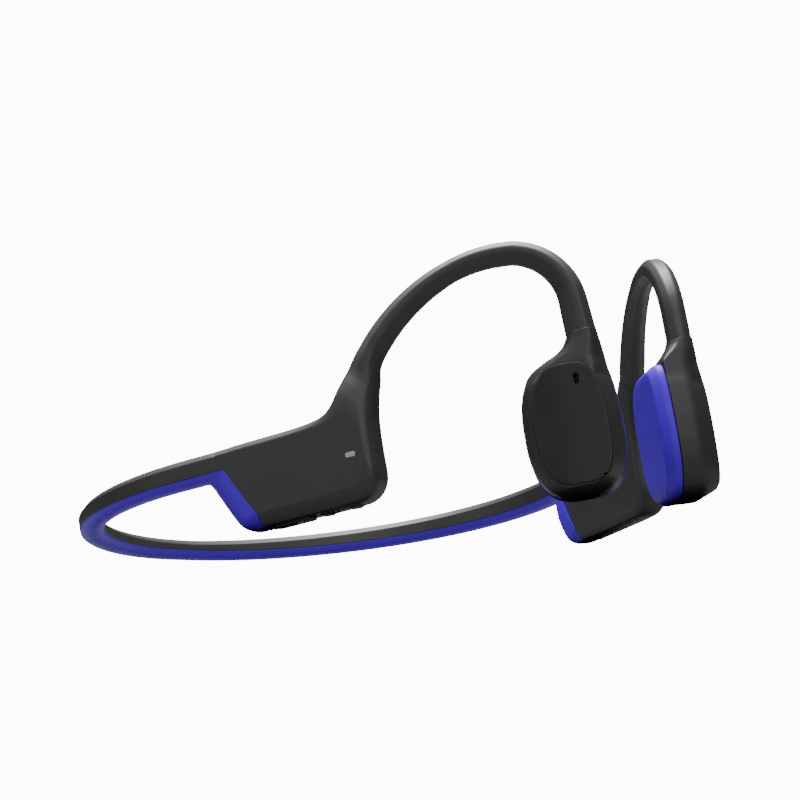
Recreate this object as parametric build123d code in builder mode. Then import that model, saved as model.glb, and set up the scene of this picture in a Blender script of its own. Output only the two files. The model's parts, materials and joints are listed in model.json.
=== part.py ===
"""Bone conduction headphones: a sprung neckband, two housings, two ear hooks and two vibrating pods.

Everything is drawn in the wearing frame, in millimetres: the neckband lies in the XY plane, +X is the
wearer's right, +Y is forward and +Z is up. The right side is modelled and the left side mirrors it.
At the end the whole headset is set down the way it lies on a table, and each piece is written.
"""

from build123d import *
from math import cos, radians, sin
import os

# ---------------------------------------------------------------- driving dimensions
# Neckband: half of its centre line is three arcs and a straight end, from the nape to the right housing.
NAPE_Y = -58.7
NAPE_RADIUS = 60.0
NAPE_SWEEP = 37.0
CORNER_RADIUS = 45.0
CORNER_SWEEP = 19.5
BAND_WIDTH = 4.8
BAND_CHAMFER = 0.9
NAPE_LEVELS = (-2.1, -0.65, 1.7)
END_LEVELS = (-3.0, -1.5, 2.5)
CORE_HEIGHT = 0.9
WIRE_RADIUS = 0.5
WIRE_OFFSET = -1.1
CABLE_RADIUS = 0.5
CABLE_OFFSET = 0.9
CORE_INTO_HOUSING = 3.0

# Housings: flat boxes whose outer faces turn inwards going forward.
HOUSING_TURN = 16.0
HOUSING_THICKNESS = 7.2
HOUSING_OUTER_OFFSET = 50.8
HOUSING_BOTTOM = -13.6
HOUSING_FRONT = 22.0
HOUSING_CORNER = 4.6
HOUSING_WALL = 1.3
HOUSING_SIDE_WALL = 1.2
OUTER_BEVEL = 2.0
INNER_BEVEL = 1.3
ROOT_HEIGHT = 5.0
ROOT_REAR = 14.1
ROOT_DEPTH = 3.2
GASKET_INSET = 0.4
GASKET_WIDTH = 0.5
GASKET_HEIGHT = 0.6
SEAM_TOP = (-10.6, 2.5)
SEAM_BOTTOM = (-8.75, -1.5)
STRIPE_KNEE = (-3.2, -11.0)
STRIPE_FOOT = (-2.6, HOUSING_BOTTOM)
COLLAR_REAR = (-13.2, -2.9)
COLLAR_HEEL = (-7.3, HOUSING_BOTTOM)
COLLAR_ROUND = 2.6

# Ear hooks: each lies in an upright plane that turns further inwards than the housing.
HOOK_TURN = 37.4
HOOK_FOOT = (37.6, 34.6)
HOOK_START_Z = 13.6
HOOK_START_ANGLE = 52.0
HOOK_START_RUN = 1.2
HOOK_REAR_RADIUS = 36.0
HOOK_REAR_SWEEP = 30.0
HOOK_CROWN_RADIUS = 26.0
HOOK_CREST_RUN = 1.0
HOOK_FRONT_RADIUS = 11.6
HOOK_END_ANGLE = -86.0
HOOK_END_RUN = 6.1
HOOK_RADIUS = 2.35
HOOK_CORE_SPREAD = 0.8
HOOK_CORE_REAR = 13.5
HOOK_CORE_FRONT = 4.0
LEADS_FRONT = 6.5

# Pods: upright lozenges that press on the cheekbones.
POD_CENTRE = (14.86, 60.02, -6.3)
POD_TURN = 35.0
POD_WIDTH = 18.2
POD_HEIGHT = 25.8
POD_ROUND = 8.0
PAD_FACE = -5.45
PAD_ROUND = 1.9
PAD_SKIN = 1.1
PARTING = -2.3
POD_RIM = 1.9
POD_BROW = 4.3
POD_WALL = 1.3
POD_FLOOR = (2.4, 3.6)
CAVITY = (POD_WIDTH - 2 * POD_WALL, POD_HEIGHT - 2 * POD_WALL, POD_ROUND - POD_WALL)
BROW = (14.6, 23.4, 6.4)
NECK_MIDDLE = (4.3, 14.3, 2.1)
NECK_MIDDLE_RADII = (3.4, 2.8)
NECK_FOOT = (2.0, 10.0, 0.6)
NECK_FOOT_RADII = (5.9, 2.8)
NECK_LIP = 0.1
PLATE_WIDTH = 13.6
PLATE_HEIGHT = 22.4
PLATE_ROUND = 6.0
PLATE_LEVELS = (3.95, 5.45)
PLATE_CHAMFER = 0.5
PLATE_GAP = 0.15
MIC_PLACE = (2.4, 8.0)
MIC_SLOT = (1.0, 2.1)
MIC_HEIGHT = 0.9
MIC_BORE_RADIUS = 0.4
MESH_RADIUS = 0.8
MESH_THICKNESS = 0.15
KEY_PLACE = (0, -6.0)
KEY_TRAVEL = 0.3

# Transducer, along the pod's outward axis.
DRIVER_PLACE = (0, -2.5)
DRIVE_PLATE = (6.6, PAD_FACE + PAD_SKIN, 0.5)
COIL = (4.8, 4.2, 2.1)
YOKE = (6.0, 5.3, -2.9, 1.25)
YOKE_BASE = 0.8
MAGNET = (3.8, -2.6)
SUSPENSION = (6.9, 0.2)

# Volume rocker and charging port, one behind the other under the right housing.
ROCKER_CENTRE = 12.6
PORT_CENTRE = 2.5
UNDERSIDE_MIDDLE = -0.35
OVAL_LENGTH = 8.8
OVAL_WIDTH = 3.2
OVAL_PROUD = 0.4
ROCKER_GAP = 0.2
ROCKER_TOP = -12.1
ROCKER_PIN = (0.4, 4.4, -12.75)
PIN_CLEARANCE = 0.03
LIGHT_PLACE = (17.8, -4.8)
LIGHT_SLOT = (2.1, 0.95)
LIGHT_FLOOR = 0.7
SWITCH_PLACES = [(ROCKER_CENTRE - 3.0, 0), (ROCKER_CENTRE + 3.0, 0)]
CONTACT_PLACES = [(PORT_CENTRE - 1.1, 0), (PORT_CENTRE + 1.1, 0)]
MAGNET_PLACES = [(PORT_CENTRE - 2.0, 0), (PORT_CENTRE + 2.0, 0)]
BATTERY_ROUND = 0.9

# ---------------------------------------------------------------- frames of the right side
housing_turned = radians(HOUSING_TURN)
housing_out = Vector(cos(housing_turned), sin(housing_turned), 0)
housing_forward = Vector(-sin(housing_turned), cos(housing_turned), 0)
half_thickness = HOUSING_THICKNESS / 2
housing_plane = Plane(
    origin=housing_out * (HOUSING_OUTER_OFFSET - half_thickness),
    x_dir=housing_forward,
    z_dir=housing_out,
)
hook_turned = radians(HOOK_TURN)
hook_plane = Plane(
    origin=(*HOOK_FOOT, 0),
    x_dir=(-sin(hook_turned), cos(hook_turned), 0),
    z_dir=(cos(hook_turned), sin(hook_turned), 0),
)
pod_turned = radians(POD_TURN)
pod_plane = Plane(
    origin=POD_CENTRE,
    x_dir=(-sin(pod_turned), cos(pod_turned), 0),
    z_dir=(cos(pod_turned), sin(pod_turned), 0),
)

pieces = {}


def note(label, builder):
    """Notes a finished piece under the name that its node gets."""
    pieces[label] = builder
    return builder.part


def note_twin(label, right_part):
    """Makes and notes the left twin of a right piece."""
    with BuildPart() as twin:
        mirror(right_part, about=Plane.YZ)
    return note(label, twin)


def underside(height):
    """The level plane at a height under the right housing, with X forward, Y outward and Z down."""
    return Plane(
        origin=housing_plane.from_local_coords((0, height, UNDERSIDE_MIDDLE)),
        x_dir=housing_forward,
        z_dir=(0, 0, -1),
    )


# ---------------------------------------------------------------- neckband
def band_line(offset=0.0, height=0.0, extra=0.0):
    """Half of a line along the neckband, outside its centre line by an offset, from nape to seam."""
    temple_sweep = 90 + HOUSING_TURN - NAPE_SWEEP - CORNER_SWEEP
    with BuildLine() as line:
        nape = JernArc((0, NAPE_Y - offset, height), (1, 0, 0), NAPE_RADIUS + offset, NAPE_SWEEP)
        corner = JernArc(nape @ 1, nape % 1, CORNER_RADIUS + offset, CORNER_SWEEP)
        end_offset = HOUSING_OUTER_OFFSET - BAND_WIDTH / 2 + offset
        room = end_offset - (corner @ 1).dot(housing_out)
        temple_radius = room / (1 - cos(radians(temple_sweep)))
        temple = JernArc(corner @ 1, corner % 1, temple_radius, temple_sweep)
        run = SEAM_BOTTOM[0] + extra - (temple @ 1).dot(housing_forward)
        Line(temple @ 1, temple @ 1 + housing_forward * run)
    return line.wire()


def cover_section(plane, levels):
    """The neckband's upper section: flat sides with chamfered top edges."""
    _, split, top = levels
    half = BAND_WIDTH / 2
    flat = half - BAND_CHAMFER
    shoulder = top - BAND_CHAMFER
    corners = [(half, split), (half, shoulder), (flat, top), (-flat, top), (-half, shoulder), (-half, split)]
    with BuildSketch(plane) as section:
        with BuildLine():
            Polyline(*corners)
            Line((-half, split), (half, split))
        make_face()
    return section.sketch


def trim_section(plane, levels):
    """The neckband's lower section: half an ellipse."""
    bottom, split, _ = levels
    half = BAND_WIDTH / 2
    with BuildSketch(plane) as section:
        with BuildLine():
            EllipticalCenterArc((0, split), half, split - bottom, start_angle=180, arc_size=180)
            Line((half, split), (-half, split))
        make_face()
    return section.sketch


def band_half(section):
    """One section swept from nape to seam, growing from the nape's levels to the end's."""
    line = band_line()
    nape_plane = Plane(origin=line @ 0, x_dir=(0, -1, 0), z_dir=(-1, 0, 0))
    end_plane = Plane(origin=line @ 1, x_dir=housing_out, z_dir=-housing_forward)
    with BuildPart() as half:
        sections = [section(nape_plane, NAPE_LEVELS), section(end_plane, END_LEVELS)]
        sweep(sections, path=line, multisection=True)
    return half.part


def band_core(offset, radius):
    """A round core that follows the neckband from one housing's inside to the other's."""
    line = band_line(offset, CORE_HEIGHT, CORE_INTO_HOUSING)
    with BuildPart() as core:
        with BuildSketch(Plane(origin=line @ 0, z_dir=(1, 0, 0))):
            Circle(radius)
        sweep(path=line)
        mirror(about=Plane.YZ)
    return core


# ---------------------------------------------------------------- housings
def housing_outline(inset=0.0):
    """The housing's side outline between the stripe behind and the hook's root above."""
    with BuildSketch(housing_plane) as outline:
        with BuildLine():
            Line(STRIPE_FOOT, (HOUSING_FRONT - HOUSING_CORNER, HOUSING_BOTTOM))
            RadiusArc(
                (HOUSING_FRONT - HOUSING_CORNER, HOUSING_BOTTOM),
                (HOUSING_FRONT, HOUSING_BOTTOM + HOUSING_CORNER),
                -HOUSING_CORNER,
            )
            Polyline(
                (HOUSING_FRONT, HOUSING_BOTTOM + HOUSING_CORNER),
                (HOUSING_FRONT, 0),
                (HOUSING_FRONT + 0.5, ROOT_HEIGHT),
                (ROOT_REAR, ROOT_HEIGHT),
                (ROOT_REAR - 3.0, 3.3),
                SEAM_TOP,
                SEAM_BOTTOM,
                STRIPE_KNEE,
                STRIPE_FOOT,
            )
        make_face()
        if inset:
            offset(amount=-inset, kind=Kind.INTERSECTION)
    return outline.sketch


def collar_outline():
    """The stripe of trim that wraps the housing's rear end, below the neckband."""
    with BuildSketch(housing_plane) as outline:
        with BuildLine() as edge:
            Polyline(SEAM_BOTTOM, COLLAR_REAR, COLLAR_HEEL, STRIPE_FOOT, STRIPE_KNEE, SEAM_BOTTOM)
        make_face()
        heel = outline.vertices().sort_by(Axis.Y)[:2].sort_by(Axis.X)[0]
        fillet(heel, COLLAR_ROUND)
    return outline.sketch


def bevelled(outline):
    """An outline extruded to the housing's thickness, with its lower and front edges bevelled."""
    with BuildPart() as body:
        extrude(outline, amount=half_thickness, both=True)
        for side, bevel in ((-1, OUTER_BEVEL), (0, INNER_BEVEL)):
            face = body.faces().sort_by(Axis(housing_plane.origin, housing_out))[side]
            edges = [e for e in face.edges() if bevelled_edge(e)]
            chamfer(edges, bevel)
    return body.part


def bevelled_edge(edge):
    """True for the edges along the housing's underside, its front corner and its front."""
    middle = housing_plane.to_local_coords(edge @ 0.5)
    low = middle.Y < STRIPE_KNEE[1] and middle.X > COLLAR_HEEL[0] - COLLAR_ROUND
    front = middle.X > HOUSING_FRONT - HOUSING_CORNER and middle.Y < ROOT_HEIGHT - 0.1
    stripe = STRIPE_KNEE[0] < middle.X < STRIPE_FOOT[0] and middle.Y > HOUSING_BOTTOM + 0.1
    return (low or front) and not stripe


def oval_opening(centre, gap, levels):
    """An upright oval through the underside, between two heights."""
    low, high = levels
    with BuildPart() as opening:
        with BuildSketch(underside(low)):
            with Locations((centre, 0)):
                SlotOverall(OVAL_LENGTH + 2 * gap, OVAL_WIDTH + 2 * gap)
        extrude(amount=low - high)
    return opening.part


def housing_shells(cuts):
    """The outer and inner halves of a hollow housing, less the given cut-outs."""
    body = bevelled(housing_outline())
    depth = half_thickness - HOUSING_SIDE_WALL
    hollow = extrude(housing_outline(HOUSING_WALL), amount=depth, both=True, mode=Mode.PRIVATE)
    halves = []
    for kept in (Keep.TOP, Keep.BOTTOM):
        with BuildPart() as half:
            add(body)
            add([hollow, gasket_ring(), *cuts], mode=Mode.SUBTRACT)
            split(bisect_by=housing_plane, keep=kept)
        halves.append(half)
    return halves


def gasket_ring():
    """The seal that follows the outline between the two shells."""
    with BuildPart() as ring:
        extrude(housing_outline(GASKET_INSET), amount=GASKET_HEIGHT / 2, both=True)
        inner = housing_outline(GASKET_INSET + GASKET_WIDTH)
        extrude(inner, amount=GASKET_HEIGHT / 2, both=True, mode=Mode.SUBTRACT)
    return ring.part


def gasket(cuts):
    """A gasket with gaps where something passes through it."""
    with BuildPart() as seal:
        add(gasket_ring())
        add(cuts, mode=Mode.SUBTRACT)
    return seal


def in_housing(forward, height, outward):
    """A block inside the right housing, from its ranges forward, upward and outward."""
    size = [high - low for low, high in (forward, height, outward)]
    middle = [(low + high) / 2 for low, high in (forward, height, outward)]
    with BuildPart() as block:
        with BuildSketch(housing_plane.offset(outward[0])):
            with Locations((middle[0], middle[1])):
                Rectangle(size[0], size[1])
        extrude(amount=size[2])
    return block


def status_light_slot(levels):
    """The status light's oval, between two distances from the housing's middle."""
    with BuildPart() as slot:
        with BuildSketch(housing_plane.offset(levels[0])):
            with Locations(LIGHT_PLACE):
                SlotOverall(*LIGHT_SLOT)
        extrude(amount=levels[1] - levels[0])
    return slot


# ---------------------------------------------------------------- volume rocker and charging port
def rocker_pin(radius):
    """The rocker's pivot, across the housing."""
    _, length, height = ROCKER_PIN
    centre = housing_plane.from_local_coords((ROCKER_CENTRE, height, UNDERSIDE_MIDDLE - length / 2))
    with BuildPart() as pin:
        with BuildSketch(Plane(origin=centre, x_dir=housing_forward, z_dir=housing_out)):
            Circle(radius)
        extrude(amount=length)
    return pin


def volume_rocker():
    """One key for louder and quieter: an oval with a raised pad at each end and a small middle mark."""
    flush = HOUSING_BOTTOM - 0.1
    with BuildPart() as rocker:
        with BuildSketch(underside(flush)):
            with Locations((ROCKER_CENTRE, 0)):
                SlotOverall(OVAL_LENGTH, OVAL_WIDTH)
        extrude(amount=flush - ROCKER_TOP)
        with BuildSketch(underside(HOUSING_BOTTOM - OVAL_PROUD)):
            with Locations((ROCKER_CENTRE - 2.9, 0), (ROCKER_CENTRE + 2.9, 0)):
                SlotOverall(2.6, 2.4, rotation=90)
            with Locations((ROCKER_CENTRE - 0.9, 0)):
                Circle(0.35)
        extrude(amount=HOUSING_BOTTOM - OVAL_PROUD - flush)
        add(rocker_pin(ROCKER_PIN[0] + PIN_CLEARANCE).part, mode=Mode.SUBTRACT)
    return rocker


def upright_cylinders(places, radius, levels):
    """Upright round pieces over the underside, between two heights."""
    with BuildPart() as group:
        with BuildSketch(underside(levels[0])):
            with Locations(*places):
                Circle(radius)
        extrude(amount=levels[0] - levels[1])
    return group


def upright_blocks(places, size, levels):
    """Upright blocks over the underside, between two heights."""
    with BuildPart() as group:
        with BuildSketch(underside(levels[0])):
            with Locations(*places):
                Rectangle(*size)
        extrude(amount=levels[0] - levels[1])
    return group


# ---------------------------------------------------------------- ear hooks
def hook_line(rear=0.0, front=0.0, sideways=0.0):
    """A line along the right ear hook, from its root to its seam with the pod's neck."""
    angle = radians(HOOK_START_ANGLE)
    rise = Vector(cos(angle), sin(angle))
    foot = Vector(0, HOOK_START_Z)
    crest = foot + rise * HOOK_START_RUN
    with BuildLine() as line:
        Line(foot - rise * rear, crest)
        back = JernArc(crest, rise, HOOK_REAR_RADIUS, -HOOK_REAR_SWEEP)
        crown = JernArc(back @ 1, back % 1, HOOK_CROWN_RADIUS, HOOK_REAR_SWEEP - HOOK_START_ANGLE)
        top = Line(crown @ 1, crown @ 1 + Vector(HOOK_CREST_RUN, 0))
        face = JernArc(top @ 1, (1, 0), HOOK_FRONT_RADIUS, HOOK_END_ANGLE)
        Line(face @ 1, face @ 1 + (face % 1) * (HOOK_END_RUN + front))
    return line.wire().moved(hook_plane.offset(sideways).location)


def along(line, radius):
    """A round bar swept along a line."""
    start = Plane(origin=line @ 0, z_dir=line % 0)
    with BuildPart() as bar:
        with BuildSketch(start):
            Circle(radius)
        sweep(path=line)
    return bar


def ear_hook(cores):
    """The silicone sleeve: a root that spreads onto the housing, then a bar over the ear."""
    line = hook_line()
    root_middle = (ROOT_REAR + HOUSING_FRONT + 0.5) / 2
    root = Plane(
        origin=housing_plane.from_local_coords((root_middle, ROOT_HEIGHT, -0.2)),
        x_dir=housing_forward,
        z_dir=(0, 0, 1),
    )
    with BuildPart() as hook:
        with BuildSketch(root):
            Ellipse(HOUSING_FRONT + 0.5 - root_middle, ROOT_DEPTH)
        with BuildSketch(Plane(origin=line @ 0, x_dir=(line % 0).cross(hook_plane.z_dir), z_dir=line % 0)):
            Circle(HOOK_RADIUS)
        loft()
        add(along(line, HOOK_RADIUS).part)
        add(cores, mode=Mode.SUBTRACT)
    return hook


# ---------------------------------------------------------------- pods
def pod_slab(width, height, rounding, levels):
    """A rounded slab square to the pod's axis, between two distances along it."""
    with BuildPart() as slab:
        with BuildSketch(pod_plane.offset(levels[0])):
            RectangleRounded(width, height, rounding)
        extrude(amount=levels[1] - levels[0])
    return slab.part


def pod_discs(place, radius, levels):
    """A disc square to the pod's axis, between two distances along it."""
    with BuildPart() as disc:
        with BuildSketch(pod_plane.offset(levels[0])):
            with Locations(place):
                Circle(radius)
        extrude(amount=levels[1] - levels[0])
    return disc.part


def pod_block(place, size, levels):
    """A block square to the pod's axis, between two distances along it."""
    with BuildPart() as block:
        with BuildSketch(pod_plane.offset(levels[0])):
            with Locations(place):
                Rectangle(*size)
        extrude(amount=levels[1] - levels[0])
    return block.part


def level_in_pod(forward, height, outward):
    """A level plane at a point of the pod, with X forward along the pod."""
    origin = pod_plane.from_local_coords((forward, height, outward))
    return Plane(origin=origin, x_dir=pod_plane.x_dir, z_dir=(0, 0, 1))


def pod_shell(cuts):
    """The outer shell of a pod, with the neck that takes the ear hook's end."""
    end = hook_line() @ 1
    down = hook_line() % 1
    with BuildPart() as shell:
        add(pod_slab(POD_WIDTH, POD_HEIGHT, POD_ROUND, (PARTING, POD_RIM)))
        with BuildSketch(pod_plane.offset(POD_RIM)):
            RectangleRounded(POD_WIDTH, POD_HEIGHT, POD_ROUND)
        with BuildSketch(pod_plane.offset(POD_BROW)):
            RectangleRounded(*BROW)
        loft()
        with BuildSketch(Plane(origin=end, x_dir=pod_plane.x_dir, z_dir=-down)):
            Circle(HOOK_RADIUS + NECK_LIP)
        with BuildSketch(level_in_pod(*NECK_MIDDLE)):
            Ellipse(*NECK_MIDDLE_RADII)
        with BuildSketch(level_in_pod(*NECK_FOOT)):
            Ellipse(*NECK_FOOT_RADII)
        loft()
        add(pod_slab(*CAVITY, (PARTING, POD_FLOOR[0])), mode=Mode.SUBTRACT)
        recess = (PLATE_WIDTH + 2 * PLATE_GAP, PLATE_HEIGHT + 2 * PLATE_GAP, PLATE_ROUND + PLATE_GAP)
        add(pod_slab(*recess, (POD_FLOOR[1], POD_BROW)), mode=Mode.SUBTRACT)
        add(cuts, mode=Mode.SUBTRACT)
    return shell


def contact_pad():
    """The soft pad that rests on the cheekbone, hollow to take the drive plate."""
    with BuildPart() as pad:
        add(pod_slab(POD_WIDTH, POD_HEIGHT, POD_ROUND, (PAD_FACE, PARTING)))
        face = pad.faces().sort_by(Axis(pod_plane.origin, pod_plane.z_dir))[0]
        fillet(face.edges(), PAD_ROUND)
        add(pod_slab(*CAVITY, (PAD_FACE + PAD_SKIN, PARTING)), mode=Mode.SUBTRACT)
    return pad


def cover_plate():
    """The plate on a pod's outer face, with the microphone's slot."""
    with BuildPart() as plate:
        add(pod_slab(PLATE_WIDTH, PLATE_HEIGHT, PLATE_ROUND, PLATE_LEVELS))
        face = plate.faces().sort_by(Axis(pod_plane.origin, pod_plane.z_dir))[-1]
        chamfer(face.edges(), PLATE_CHAMFER)
        with BuildSketch(pod_plane.offset(PLATE_LEVELS[0])):
            with Locations(MIC_PLACE):
                SlotOverall(MIC_SLOT[1], MIC_SLOT[0], rotation=90)
        extrude(amount=PLATE_LEVELS[1] - PLATE_LEVELS[0], mode=Mode.SUBTRACT)
    return plate


def ring(outer, inner, levels):
    """A ring around the transducer's axis."""
    with BuildPart() as hoop:
        add(pod_discs(DRIVER_PLACE, outer, levels))
        add(pod_discs(DRIVER_PLACE, inner, levels), mode=Mode.SUBTRACT)
    return hoop


def transducer():
    """The pieces of one bone conduction transducer, by the second half of their names."""
    plate_radius, plate_low, plate_thickness = DRIVE_PLATE
    coil_outer, coil_inner, coil_length = COIL
    yoke_outer, yoke_inner, yoke_low, yoke_high = YOKE
    magnet_radius, magnet_low = MAGNET
    spring_radius, spring_thickness = SUSPENSION
    plate_high = plate_low + plate_thickness
    with BuildPart() as plate:
        add(pod_discs(DRIVER_PLACE, plate_radius, (plate_low, plate_high)))
    with BuildPart() as yoke:
        add(pod_discs(DRIVER_PLACE, yoke_outer, (yoke_low, yoke_high)))
        add(pod_discs(DRIVER_PLACE, yoke_inner, (yoke_low, yoke_high - YOKE_BASE)), mode=Mode.SUBTRACT)
    with BuildPart() as magnet:
        add(pod_discs(DRIVER_PLACE, magnet_radius, (magnet_low, yoke_high - YOKE_BASE)))
    with BuildPart() as spring:
        add(pod_discs(DRIVER_PLACE, spring_radius, (yoke_high, yoke_high + spring_thickness)))
        with BuildSketch(pod_plane.offset(yoke_high)):
            with Locations(DRIVER_PLACE):
                with PolarLocations(0, 3):
                    SlotArc(CenterArc((0, 0), 4.6, 0, 90), 0.8)
        extrude(amount=spring_thickness, mode=Mode.SUBTRACT)
    return {
        "drive_plate": plate,
        "voice_coil": ring(coil_outer, coil_inner, (plate_high, plate_high + coil_length)),
        "magnet_yoke": yoke,
        "magnet": magnet,
        "suspension_spring": spring,
    }


# ---------------------------------------------------------------- cores that run from part to part
spring_wire = band_core(WIRE_OFFSET, WIRE_RADIUS)
note("neckband_spring_wire", spring_wire)
cable = band_core(CABLE_OFFSET, CABLE_RADIUS)
note("neckband_cable", cable)
band_cores = [spring_wire.part, cable.part]

hook_wire = along(hook_line(HOOK_CORE_REAR, HOOK_CORE_FRONT, HOOK_CORE_SPREAD), WIRE_RADIUS)
note("right_hook_wire", hook_wire)
note_twin("left_hook_wire", hook_wire.part)
hook_leads = along(hook_line(HOOK_CORE_REAR, LEADS_FRONT, -HOOK_CORE_SPREAD), CABLE_RADIUS)
note("right_hook_leads", hook_leads)
note_twin("left_hook_leads", hook_leads.part)
hook_cores = [hook_wire.part, hook_leads.part]

# ---------------------------------------------------------------- housings and what they hold
port_levels = (HOUSING_BOTTOM - OVAL_PROUD, HOUSING_BOTTOM + HOUSING_WALL)
port_opening = oval_opening(PORT_CENTRE, 0, port_levels)
rocker_opening = oval_opening(ROCKER_CENTRE, ROCKER_GAP, port_levels)
pivot = rocker_pin(ROCKER_PIN[0])
light_pipe = status_light_slot((LIGHT_FLOOR, half_thickness))

right_cuts = [*band_cores, *hook_cores, port_opening, rocker_opening, pivot.part, light_pipe.part]
right_outer_shell, right_inner_shell = housing_shells(right_cuts)
note("right_housing_outer_shell", right_outer_shell)
note("right_housing_inner_shell", right_inner_shell)
left_outer_shell, left_inner_shell = housing_shells([*band_cores, *hook_cores])
note_twin("left_housing_outer_shell", left_outer_shell.part)
note_twin("left_housing_inner_shell", left_inner_shell.part)
note("right_housing_gasket", gasket([*band_cores, *hook_cores, port_opening, rocker_opening, pivot.part]))
note_twin("left_housing_gasket", gasket([*band_cores, *hook_cores]).part)

note("volume_rocker", volume_rocker())
note("rocker_pin", pivot)
note("volume_switches", upright_blocks(SWITCH_PLACES, (2.4, 2.0), (-11.9, -10.9)))
note("switch_board", upright_blocks([(ROCKER_CENTRE, 0)], (8.6, 3.0), (-10.9, -10.6)))

with BuildPart() as contacts:
    add(upright_cylinders(CONTACT_PLACES, 0.6, port_levels).part)
note("charging_contacts", contacts)
with BuildPart() as port:
    add(port_opening)
    add(contacts.part, mode=Mode.SUBTRACT)
note("charging_port", port)
note("charging_magnets", upright_blocks(MAGNET_PLACES, (1.8, 2.4), (port_levels[1], -11.3)))

note("main_circuit_board", in_housing((-1.0, 19.5), (-10.4, 1.2), (-0.9, -0.1)))
note("bluetooth_module", in_housing((2.0, 8.5), (-7.0, -1.0), (-0.1, 1.1)))
note("chip_antenna", in_housing((-0.6, 1.0), (-3.6, 0.8), (-0.1, 0.9)))
note("power_chip", in_housing((10.5, 14.0), (-8.6, -5.1), (-0.1, 0.8)))
note("status_led", in_housing((17.0, 18.6), (-5.2, -4.4), (-0.1, 0.5)))
note("status_light_pipe", light_pipe)

cell = in_housing((0.2, 18.6), (-11.2, 0.8), (-2.1, 2.1))
with BuildPart() as battery:
    add(cell.part)
    fillet(battery.edges().filter_by(Axis.Z, reverse=True), BATTERY_ROUND)
note_twin("battery_cell", battery.part)
note_twin("battery_protection_board", in_housing((-5.2, -0.6), (-3.0, 0.3), (-0.4, 0.4)).part)

# ---------------------------------------------------------------- neckband cover and trim
housing_body = bevelled(housing_outline())
cover_half = band_half(cover_section)
with BuildPart() as band_cover:
    add(cover_half)
    mirror(cover_half, about=Plane.YZ)
    left_body = mirror(housing_body, about=Plane.YZ, mode=Mode.PRIVATE)
    add([housing_body, left_body, *band_cores], mode=Mode.SUBTRACT)
note("neckband_cover", band_cover)

collar = bevelled(collar_outline())
trim_half = band_half(trim_section)
with BuildPart() as band_trim:
    add([trim_half, collar])
    mirror(band_trim.part, about=Plane.YZ)
note("neckband_trim", band_trim)

# ---------------------------------------------------------------- ear hooks
right_hook = ear_hook(hook_cores)
note("right_ear_hook", right_hook)
note_twin("left_ear_hook", right_hook.part)

# ---------------------------------------------------------------- pods
mic_levels = (POD_FLOOR[1] - MESH_THICKNESS, POD_FLOOR[1])
with BuildPart() as mic_mesh:
    add(pod_discs(MIC_PLACE, MESH_RADIUS, mic_levels))
with BuildPart() as microphone:
    add(pod_block(MIC_PLACE, (2.6, 1.9), (POD_FLOOR[0] - MIC_HEIGHT, POD_FLOOR[0])))
mic_bore = pod_discs(MIC_PLACE, MIC_BORE_RADIUS, POD_FLOOR)

button_well = pod_block(KEY_PLACE, (3.4, 3.4), POD_FLOOR)
with BuildPart() as key_switch:
    add(pod_block(KEY_PLACE, (3.0, 3.0), (POD_FLOOR[0], POD_FLOOR[0] + 0.9)))
    add(pod_discs(KEY_PLACE, 0.8, (POD_FLOOR[0] + 0.9, PLATE_LEVELS[0] - KEY_TRAVEL - 0.03)))
with BuildPart() as key_board:
    add(pod_block(KEY_PLACE, (5.6, 5.0), (POD_FLOOR[0] - 0.5, POD_FLOOR[0])))

pod_cuts = [*hook_cores, mic_mesh.part, mic_bore]
right_pod = pod_shell(pod_cuts)
note("right_pod_shell", right_pod)
left_pod = pod_shell([*pod_cuts, button_well])
note_twin("left_pod_shell", left_pod.part)

pad = contact_pad()
note("right_contact_pad", pad)
note_twin("left_contact_pad", pad.part)

plate = cover_plate()
note("right_pod_plate", plate)
note_twin("multifunction_button", plate.part)
with BuildPart() as adhesive:
    add(pod_slab(PLATE_WIDTH - 2, PLATE_HEIGHT - 2, PLATE_ROUND - 1, (POD_FLOOR[1], PLATE_LEVELS[0])))
    add(pod_discs(MIC_PLACE, 1.4, (POD_FLOOR[1], PLATE_LEVELS[0])), mode=Mode.SUBTRACT)
note("right_plate_adhesive", adhesive)
note_twin("multifunction_switch", key_switch.part)
note_twin("multifunction_board", key_board.part)

note("right_microphone", microphone)
note_twin("left_microphone", microphone.part)
note("right_mic_mesh", mic_mesh)
note_twin("left_mic_mesh", mic_mesh.part)

for name, driver_piece in transducer().items():
    note(f"right_{name}", driver_piece)
    note_twin(f"left_{name}", driver_piece.part)


# ---------------------------------------------------------------- set down on the table
def lowest(label, tilt):
    """How low a piece reaches when the headset is tipped up at the front by an angle."""
    return pieces[label].part.rotate(Axis.X, tilt).bounding_box().min.Z


def resting_tilt():
    """The tilt at which the housings' heels and the pods touch the table together."""
    low, high = 0.0, 15.0
    for _ in range(20):
        middle = (low + high) / 2
        if lowest("right_pod_shell", middle) < lowest("neckband_trim", middle):
            low = middle
        else:
            high = middle
    return high


tilt = resting_tilt()
tipped = Compound([builder.part.rotate(Axis.X, tilt) for builder in pieces.values()]).bounding_box()
resting = Location((0, -(tipped.min.Y + tipped.max.Y) / 2, -tipped.min.Z), (tilt, 0, 0))
print("tilt", tilt, "shift", resting.position, "size", tipped.size)

os.makedirs("parts", exist_ok=True)
for label, builder in pieces.items():
    builder.part = builder.part.moved(resting)
    builder.part.label = label
    export_step(builder.part, f"parts/{label}.step")
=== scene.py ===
"""Looks of the bone conduction headphones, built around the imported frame.

Shapes are drawn in millimetres in the wearing frame: the neckband is level, +X is the wearer's right, +Y is
forward and +Z is up. The frame's joints and mounts say how that frame lies on the table. The right side is
drawn, and the left side mirrors it.
"""

import json
from math import atan2, cos, pi, radians, sin, sqrt

import bmesh
import bpy
from mathutils import Matrix, Vector


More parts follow.
